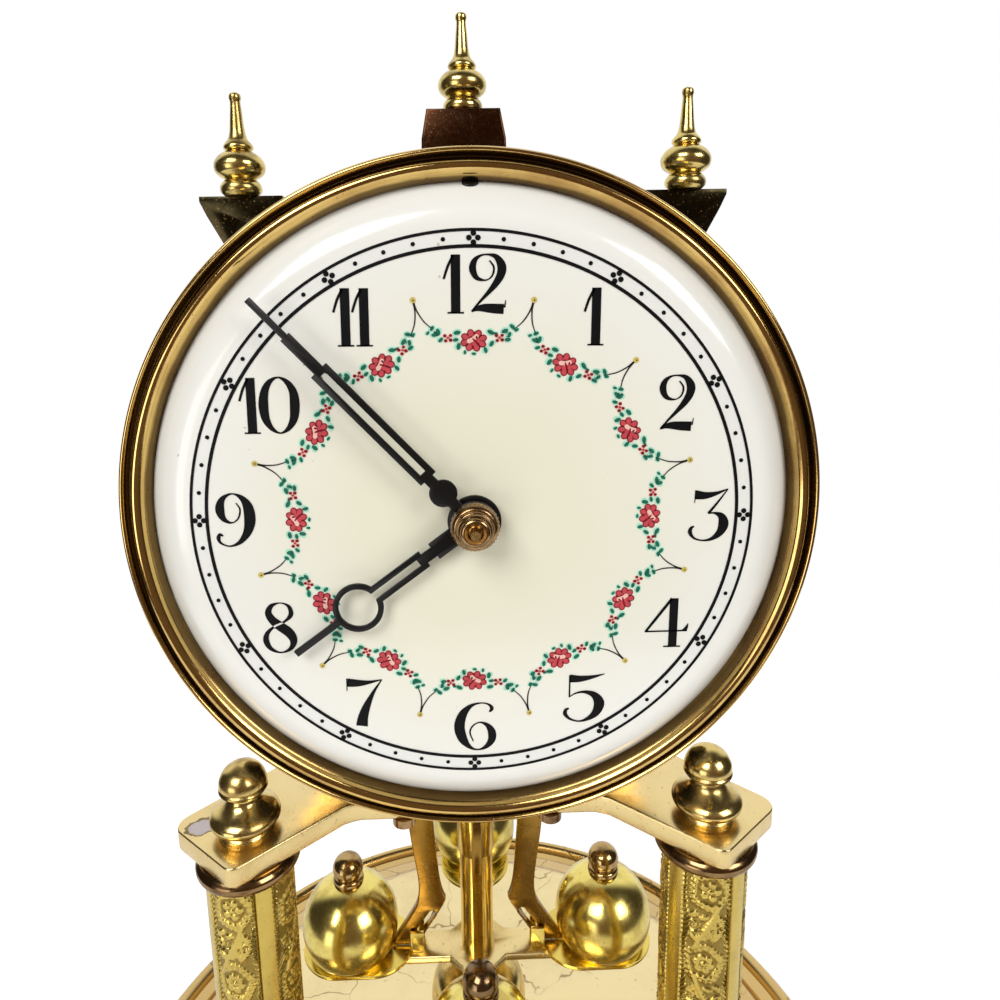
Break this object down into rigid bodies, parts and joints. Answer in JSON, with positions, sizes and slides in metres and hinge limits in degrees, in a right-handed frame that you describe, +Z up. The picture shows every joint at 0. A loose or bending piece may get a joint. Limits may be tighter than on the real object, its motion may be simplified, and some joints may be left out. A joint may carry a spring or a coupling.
{
  "type": "torsion pendulum clock",
  "caption": "Brass torsion pendulum clock on a round spun base, with a cream numeral dial with rose garlands, patterned columns and a rotating four ball pendulum.",
  "frame": {"origin": "on the table, on the axis of the round base and of the pendulum", "axes": "+Z up, the dial faces -Y, +X to the right of someone who looks at the dial"},
  "size_m": [0.196, 0.196, 0.2738],
  "materials": {
    "spun_brass": "polished, lightly worn lacquer",
    "zinc_steel": "plain",
    "dark_rubber": "matte",
    "pressed_brass": "pressed flowers, bright",
    "satin_brass": "satin lacquer",
    "dark_brass": "tarnished brown",
    "enamel_cream": "glossy cream enamel paint",
    "black_paint": "gloss",
    "wheel_brass": "machined",
    "polished_brass": "polished"
  },
  "bodies": {
    "frame": {"base_shell": "spun_brass", "base_bottom": "zinc_steel", "base_feet": "dark_rubber", "guide_cup": "spun_brass", "cup_nut": "zinc_steel", "column_left": "pressed_brass", "column_right": "pressed_brass", "foot_collars": "spun_brass", "top_collars": "dark_brass", "tie_rods": "zinc_steel", "tie_rod_nuts": "zinc_steel", "column_nuts": "spun_brass", "top_plate": "satin_brass", "front_plate": "satin_brass", "back_plate": "satin_brass", "movement_pillars": "satin_brass", "pillar_nuts": "zinc_steel", "plate_screws": "zinc_steel", "top_block": "dark_brass", "movement_finials": "dark_brass", "dial": "enamel_cream", "dial_posts": "satin_brass", "bezel": "spun_brass", "suspension_bracket": "wheel_brass", "suspension_block": "wheel_brass", "suspension_spring": "zinc_steel"},
    "centre_arbor": {"centre_wheel": "wheel_brass", "cannon_pinion": "wheel_brass", "minute_hand": "black_paint", "hand_nut": "wheel_brass"},
    "hour_pipe": {"hour_wheel": "wheel_brass", "hour_hand": "black_paint"},
    "minute_work": {"minute_wheel": "wheel_brass"},
    "second_arbor": {"second_wheel": "wheel_brass"},
    "third_arbor": {"third_wheel": "wheel_brass"},
    "escape_arbor": {"escape_wheel": "wheel_brass"},
    "drum": {"barrel": "wheel_brass", "mainspring": "zinc_steel"},
    "winding": {"barrel_arbor": "zinc_steel", "ratchet_wheel": "zinc_steel"},
    "pawl": {"click": "zinc_steel"},
    "anchor_arbor": {"anchor": "zinc_steel"},
    "fork_arm": {"fork": "wheel_brass"},
    "pendulum": {"pendulum_hook": "wheel_brass", "pendulum_tube": "polished_brass", "cross_plate": "satin_brass"},
    "rating": {"rating_disc": "wheel_brass"},
    "straps": {"strap_spider": "polished_brass"},
    "weight_left": {"carrier_left": "polished_brass", "ball_left": "polished_brass", "ball_finial_left": "dark_brass"},
    "weight_right": {"carrier_right": "polished_brass", "ball_right": "polished_brass", "ball_finial_right": "dark_brass"},
    "weight_front": {"carrier_front": "polished_brass", "ball_front": "polished_brass", "ball_finial_front": "dark_brass"},
    "weight_rear": {"carrier_rear": "polished_brass", "ball_rear": "polished_brass", "ball_finial_rear": "dark_brass"}
  },
  "joints": [
    {"name": "minute_turn", "type": "hinge", "parent": "frame", "child": "centre_arbor", "pos_m": [0, -0.02, 0.196], "axis": [0, 1, 0], "continuous": true},
    {"name": "hour_turn", "type": "hinge", "parent": "frame", "child": "hour_pipe", "pos_m": [0, -0.02, 0.196], "axis": [0, 1, 0], "continuous": true},
    {"name": "minute_wheel_turn", "type": "hinge", "parent": "frame", "child": "minute_work", "pos_m": [-0.01128, -0.02, 0.19189], "axis": [0, 1, 0], "continuous": true},
    {"name": "second_wheel_turn", "type": "hinge", "parent": "frame", "child": "second_arbor", "pos_m": [0.016, -0.02, 0.184], "axis": [0, 1, 0], "continuous": true},
    {"name": "third_wheel_turn", "type": "hinge", "parent": "frame", "child": "third_arbor", "pos_m": [-0.01125, -0.02, 0.211], "axis": [0, 1, 0], "continuous": true},
    {"name": "escape_wheel_turn", "type": "hinge", "parent": "frame", "child": "escape_arbor", "pos_m": [0, -0.02, 0.22092], "axis": [0, 1, 0], "continuous": true},
    {"name": "barrel_turn", "type": "hinge", "parent": "frame", "child": "drum", "pos_m": [-0.00472, -0.02, 0.16399], "axis": [0, 1, 0], "continuous": true},
    {"name": "winding_turn", "type": "hinge", "parent": "frame", "child": "winding", "pos_m": [-0.00472, -0.02, 0.16399], "axis": [0, 1, 0], "continuous": true},
    {"name": "click_lift", "type": "hinge", "parent": "frame", "child": "pawl", "pos_m": [-0.01355, -0.006, 0.16909], "axis": [0, 1, 0], "range_deg": [-18, 0]},
    {"name": "pendulum_swing", "type": "hinge", "parent": "frame", "child": "pendulum", "pos_m": [0, 0, 0.1], "axis": [0, 0, 1], "range_deg": [-150, 150], "stiffness_Nm_per_rad": 0.000032},
    {"name": "fork_swing", "type": "hinge", "parent": "frame", "child": "fork_arm", "pos_m": [0, 0, 0.242], "axis": [0, 0, 1], "range_deg": [-3.8, 3.8]},
    {"name": "anchor_rock", "type": "hinge", "parent": "frame", "child": "anchor_arbor", "pos_m": [0, -0.02, 0.23352], "axis": [0, 1, 0], "range_deg": [-2.1, 2.1]},
    {"name": "rating_turn", "type": "hinge", "parent": "pendulum", "child": "rating", "pos_m": [0, 0, 0.1245], "axis": [0, 0, 1], "range_deg": [-290, 434]},
    {"name": "strap_lift", "type": "slide", "parent": "pendulum", "child": "straps", "axis": [0, 0, 1], "range_m": [-0.0008, 0.0012]},
    {"name": "weight_left_slide", "type": "slide", "parent": "pendulum", "child": "weight_left", "axis": [-1, 0, 0], "range_m": [-0.00055, 0.00083]},
    {"name": "weight_right_slide", "type": "slide", "parent": "pendulum", "child": "weight_right", "axis": [1, 0, 0], "range_m": [-0.00055, 0.00083]},
    {"name": "weight_front_slide", "type": "slide", "parent": "pendulum", "child": "weight_front", "axis": [0, -1, 0], "range_m": [-0.00055, 0.00083]},
    {"name": "weight_rear_slide", "type": "slide", "parent": "pendulum", "child": "weight_rear", "axis": [0, 1, 0], "range_m": [-0.00055, 0.00083]}
  ],
  "couplings": [
    {"joint": "hour_turn", "follows": "minute_turn", "ratio": 0.083333},
    {"joint": "minute_wheel_turn", "follows": "minute_turn", "ratio": -0.33333},
    {"joint": "second_wheel_turn", "follows": "minute_turn", "ratio": -0.25},
    {"joint": "third_wheel_turn", "follows": "minute_turn", "ratio": -4},
    {"joint": "escape_wheel_turn", "follows": "minute_turn", "ratio": 12},
    {"joint": "barrel_turn", "follows": "minute_turn", "ratio": 0.05},
    {"joint": "fork_swing", "follows": "pendulum_swing", "ratio": 0.025},
    {"joint": "anchor_rock", "follows": "pendulum_swing", "ratio": 0.012972},
    {"joint": "rating_turn", "follows": "strap_lift", "rad_per_m": 6283.2},
    {"joint": "weight_left_slide", "follows": "strap_lift", "ratio": 0.683},
    {"joint": "weight_right_slide", "follows": "strap_lift", "ratio": 0.683},
    {"joint": "weight_front_slide", "follows": "strap_lift", "ratio": 0.683},
    {"joint": "weight_rear_slide", "follows": "strap_lift", "ratio": 0.683}
  ]
}
